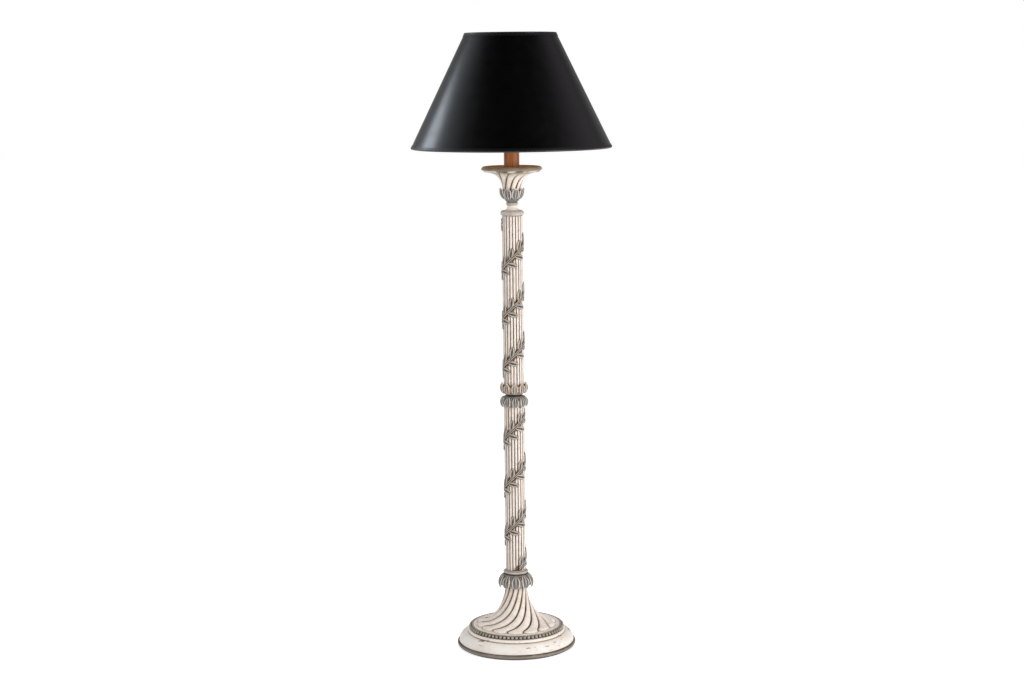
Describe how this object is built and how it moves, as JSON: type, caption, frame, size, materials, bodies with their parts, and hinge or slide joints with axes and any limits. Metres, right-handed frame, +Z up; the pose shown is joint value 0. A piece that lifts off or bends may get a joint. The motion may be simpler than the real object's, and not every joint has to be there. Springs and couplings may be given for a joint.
{
  "type": "candlestick floor lamp",
  "caption": "Candlestick floor lamp with a gadrooned round foot, a reeded column wound with a vine, a drip pan, a candle sleeve and a black cone shade on a harp.",
  "frame": {"origin": "centre of the foot, on the floor under the felt pad", "axes": "+Z up along the column, -Y towards the picture's viewer, +X to the viewer's right, cord outlet at +Y"},
  "size_m": [0.5079, 0.508, 1.5781],
  "materials": {
    "cream_paint": "cream white paint over cast resin, rubbed back to tan in the grooves",
    "grey_paint": "pewter grey paint over cast resin, with tan and brown washed into the hollows",
    "gilt_brown_paint": "grey brown rim with a worn ochre top",
    "honey_sleeve": "honey amber sleeve with drawn streaks",
    "black_satin": "smooth black satin shade material",
    "gold_lining": "soft gold paper lining",
    "black_trim": "rolled black trim",
    "brass": "satin lacquered",
    "zinc_steel": "zinc plated",
    "cast_iron": "as cast, painted black",
    "felt": "black felt",
    "fibreboard": "brown hardboard",
    "black_rubber": "matt",
    "insulating_card": "waxed card",
    "black_phenolic": "moulded, semi matt",
    "bulb_metal": "bright",
    "frosted_glass": "frosted white"
  },
  "bodies": {
    "stand": {"felt_pad": "felt", "bottom_plate": "fibreboard", "base_plinth": "grey_paint", "base_moulding": "cream_paint", "base_weight": "cast_iron", "base_washer": "zinc_steel", "base_nut": "zinc_steel", "cord_grommet": "black_rubber", "bead_band": "grey_paint", "trumpet_flange": "cream_paint", "base_trumpet": "cream_paint", "lower_leaf_collar": "grey_paint", "lower_collar_ring": "grey_paint", "lower_column": "cream_paint", "lower_vine": "grey_paint", "mid_leaves_lower": "grey_paint", "mid_waist": "grey_paint", "mid_leaves_upper": "grey_paint", "upper_column": "cream_paint", "upper_vine": "grey_paint", "column_top_ring": "grey_paint", "neck_spool": "cream_paint", "cup_ring": "grey_paint", "leaf_cup": "grey_paint", "spiral_flare": "cream_paint", "drip_pan": "gilt_brown_paint", "pan_nut": "zinc_steel", "candle_sleeve": "honey_sleeve", "sleeve_cap": "brass", "lamp_pipe_lower": "zinc_steel", "pipe_coupling": "zinc_steel", "lamp_pipe_upper": "zinc_steel", "harp_saddle": "zinc_steel", "harp": "brass", "socket_cap": "brass", "socket_shell": "brass", "socket_liner": "insulating_card", "socket_body": "black_phenolic", "socket_screw_shell": "brass", "socket_contact": "brass"},
    "ferrule_left": {"ferrule_left": "brass"},
    "ferrule_right": {"ferrule_right": "brass"},
    "switch": {"switch_stem": "brass", "switch_knob": "black_phenolic"},
    "bulb": {"bulb_base": "bulb_metal", "bulb_contact": "bulb_metal", "bulb_glass": "frosted_glass"},
    "shade": {"shade_cone": "black_satin", "shade_liner": "gold_lining", "shade_bottom_ring": "zinc_steel", "shade_top_ring": "zinc_steel", "shade_bottom_trim": "black_trim", "shade_top_trim": "black_trim", "spider": "brass"},
    "finial": {"finial": "brass"}
  },
  "joints": [
    {"name": "ferrule_left_lift", "type": "slide", "parent": "stand", "child": "ferrule_left", "axis": [0, 0, 1], "range_m": [0, 0.012]},
    {"name": "ferrule_right_lift", "type": "slide", "parent": "stand", "child": "ferrule_right", "axis": [0, 0, 1], "range_m": [0, 0.012]},
    {"name": "switch_turn", "type": "hinge", "parent": "stand", "child": "switch", "pos_m": [0, -0.02, 1.3449], "axis": [0, -1, 0], "continuous": true},
    {"name": "bulb_turn", "type": "hinge", "parent": "stand", "child": "bulb", "pos_m": [0, 0, 1.3519], "axis": [0, 0, 1], "continuous": true},
    {"name": "shade_turn", "type": "hinge", "parent": "stand", "child": "shade", "pos_m": [0, 0, 1.5491], "axis": [0, 0, 1], "continuous": true},
    {"name": "finial_turn", "type": "hinge", "parent": "stand", "child": "finial", "pos_m": [0, 0, 1.5491], "axis": [0, 0, 1], "continuous": true}
  ]
}
